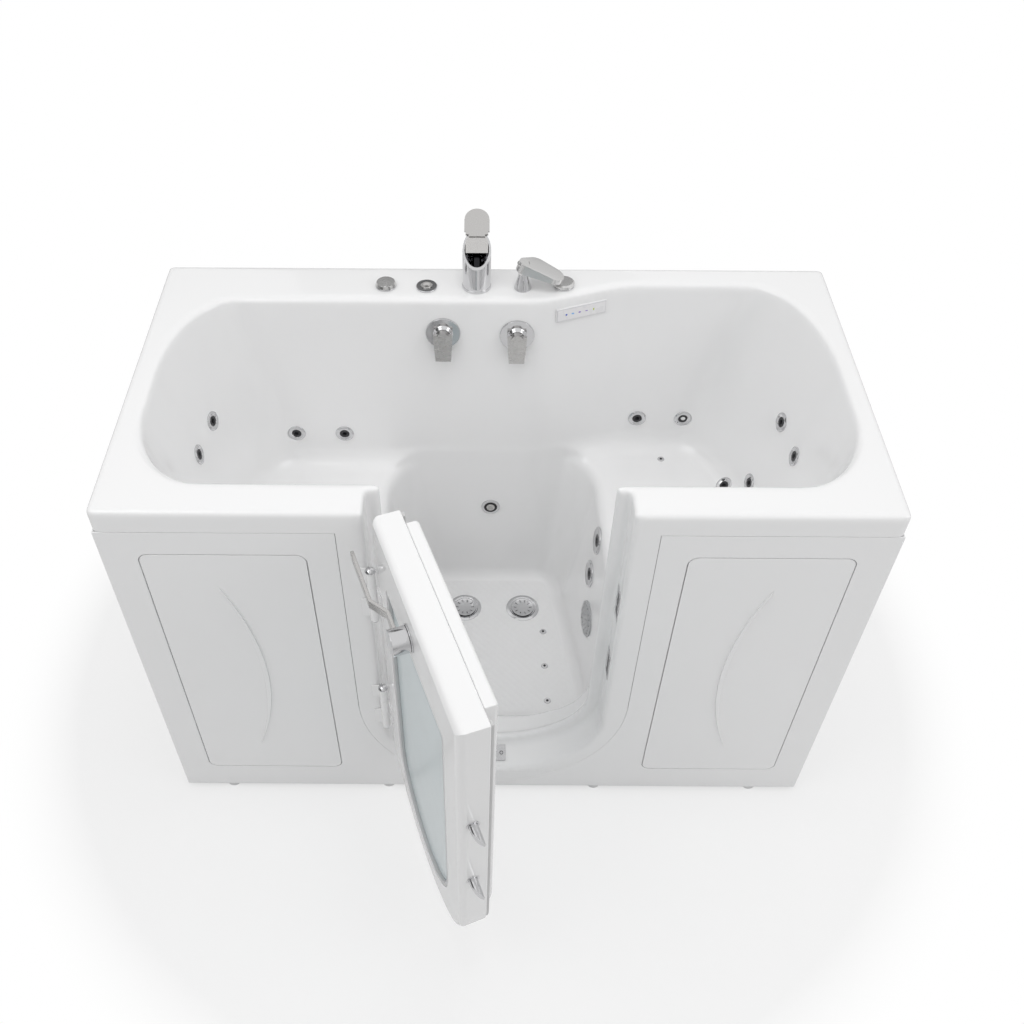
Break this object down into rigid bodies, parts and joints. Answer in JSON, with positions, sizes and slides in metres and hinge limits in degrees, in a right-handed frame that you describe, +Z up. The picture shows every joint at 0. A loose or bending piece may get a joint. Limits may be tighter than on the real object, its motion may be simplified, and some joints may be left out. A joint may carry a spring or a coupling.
{
  "type": "walk-in bathtub",
  "caption": "Two-seat walk-in bathtub with an outward-swinging windowed door, central leg well, jets, deck taps, drain handles and a levelling frame.",
  "frame": {"origin": "floor level at the centre of the tub body's footprint, with the open door not counted", "axes": "+X along the tub to the right of a person facing the door, +Y from the door side to the deck with the taps, +Z up"},
  "size_m": [1.524, 1.2889, 1.1614],
  "materials": {
    "acrylic": "glossy white acrylic",
    "skirt": "glossy white sheet",
    "chrome": "polished",
    "satin_metal": "satin",
    "steel": "satin",
    "frame_metal": "mill finish",
    "foot": "dull light grey",
    "board": "plywood",
    "window": "pale blue-green, clear",
    "bezel": "light grey",
    "seal": "light grey",
    "dark_plastic": "dull black",
    "grey_plastic": "satin grey",
    "brass": "plain",
    "pipe": "white",
    "pump_body": "painted dark grey",
    "keypad": "white membrane with plain coloured dots"
  },
  "bodies": {
    "tub": {"tub_shell": "acrylic", "front_skirt": "skirt", "left_end_skirt": "skirt", "right_end_skirt": "skirt", "left_access_panel": "skirt", "right_access_panel": "skirt", "panel_catches": "dark_plastic", "long_frame_bars": "frame_metal", "cross_frame_bars": "frame_metal", "frame_uprights": "frame_metal", "levelling_feet": "foot", "foot_lock_nuts": "steel", "equipment_boards": "board", "jamb_hinge_knuckles": "acrylic", "hinge_pins": "chrome", "strike_plates": "steel", "sill_plate": "steel", "mixer_body": "chrome", "mixer_supply_tails": "brass", "shower_holder": "chrome", "deck_bezels": "chrome", "control_keypad": "keypad", "drain_handle_plates": "chrome", "drain_bodies": "chrome", "drain_cables": "dark_plastic", "overflow_fitting": "chrome", "waste_pipes": "pipe", "jet_rings": "chrome", "jet_nozzles": "dark_plastic", "air_jets": "chrome", "suction_covers": "grey_plastic", "jet_pump": "pump_body", "air_blower": "dark_plastic", "control_box": "dark_plastic", "water_pipes": "pipe", "air_pipes": "pipe"},
    "door": {"door_panel": "acrylic", "door_liner": "acrylic", "door_window": "window", "window_bezel": "bezel", "door_seal": "seal", "door_hinge_leaves": "acrylic", "lever_rose": "chrome", "latch_bolt_guides": "chrome"},
    "latch_lever": {"lever_hub": "chrome", "lever_arm": "satin_metal"},
    "latch_drive": {"latch_drive_bar": "steel"},
    "upper_bolt": {"upper_latch_bolt": "chrome"},
    "lower_bolt": {"lower_latch_bolt": "chrome"},
    "mixer_turning_base": {"mixer_cartridge": "dark_plastic"},
    "mixer_handle": {"mixer_lever": "satin_metal"},
    "shower_handset": {"hand_shower": "chrome"},
    "air_knob": {"air_control_knob": "chrome"},
    "pump_button": {"push_button": "satin_metal"},
    "diverter": {"diverter_knob": "chrome"},
    "left_handle": {"left_drain_handle": "satin_metal"},
    "right_handle": {"right_drain_handle": "satin_metal"},
    "left_cover": {"left_drain_cover": "chrome"},
    "right_cover": {"right_drain_cover": "chrome"}
  },
  "joints": [
    {"name": "door_swing", "type": "hinge", "parent": "tub", "child": "door", "pos_m": [-0.245, -0.405, 0.5], "axis": [0, 0, 1], "range_deg": [-35, 70]},
    {"name": "latch_lever_turn", "type": "hinge", "parent": "door", "child": "latch_lever", "pos_m": [-0.15591, -0.62053, 0.937], "axis": [-0.9397, -0.342, 0], "range_deg": [0, 90]},
    {"name": "latch_drive_lift", "type": "slide", "parent": "door", "child": "latch_drive", "axis": [0, 0, 1], "range_m": [0, 0.0161]},
    {"name": "upper_bolt_draw", "type": "slide", "parent": "door", "child": "upper_bolt", "axis": [-0.342, 0.9397, 0], "range_m": [0, 0.0401]},
    {"name": "lower_bolt_draw", "type": "slide", "parent": "door", "child": "lower_bolt", "axis": [-0.342, 0.9397, 0], "range_m": [0, 0.0401]},
    {"name": "mixer_turn", "type": "hinge", "parent": "tub", "child": "mixer_turning_base", "pos_m": [-0.044, 0.32, 1.05], "axis": [0, 0, 1], "range_deg": [-40, 40]},
    {"name": "mixer_lift", "type": "hinge", "parent": "mixer_turning_base", "child": "mixer_handle", "pos_m": [-0.044, 0.334, 1.106], "axis": [1, 0, 0], "range_deg": [0, 20]},
    {"name": "shower_lift_off", "type": "slide", "parent": "tub", "child": "shower_handset", "axis": [0, 0, 1], "range_m": [0, 0.08]},
    {"name": "air_control_turn", "type": "hinge", "parent": "tub", "child": "air_knob", "pos_m": [-0.251, 0.318, 1.01], "axis": [0, 0, 1], "range_deg": [0, 180]},
    {"name": "button_press", "type": "slide", "parent": "tub", "child": "pump_button", "axis": [0, 0, -1], "range_m": [0, 0.004], "stiffness_N_per_m": 500},
    {"name": "diverter_turn", "type": "hinge", "parent": "tub", "child": "diverter", "pos_m": [0.155, 0.323, 1.01], "axis": [0, 0, 1], "range_deg": [0, 90]},
    {"name": "left_handle_turn", "type": "hinge", "parent": "tub", "child": "left_handle", "pos_m": [-0.121, 0.26013, 0.922], "axis": [0, -0.9995, 0.0326], "range_deg": [0, 75]},
    {"name": "right_handle_turn", "type": "hinge", "parent": "tub", "child": "right_handle", "pos_m": [0.05, 0.25996, 0.917], "axis": [0, -0.9995, 0.0326], "range_deg": [0, 75]},
    {"name": "left_cover_lift", "type": "slide", "parent": "tub", "child": "left_cover", "axis": [0, 0, 1], "range_m": [0, 0.0081]},
    {"name": "right_cover_lift", "type": "slide", "parent": "tub", "child": "right_cover", "axis": [0, 0, 1], "range_m": [0, 0.0081]}
  ],
  "couplings": [
    {"joint": "latch_drive_lift", "follows": "latch_lever_turn", "m_per_rad": 0.010186},
    {"joint": "upper_bolt_draw", "follows": "latch_lever_turn", "m_per_rad": 0.025465},
    {"joint": "lower_bolt_draw", "follows": "latch_lever_turn", "m_per_rad": 0.025465},
    {"joint": "left_cover_lift", "follows": "left_handle_turn", "m_per_rad": 0.006112},
    {"joint": "right_cover_lift", "follows": "right_handle_turn", "m_per_rad": 0.006112}
  ]
}
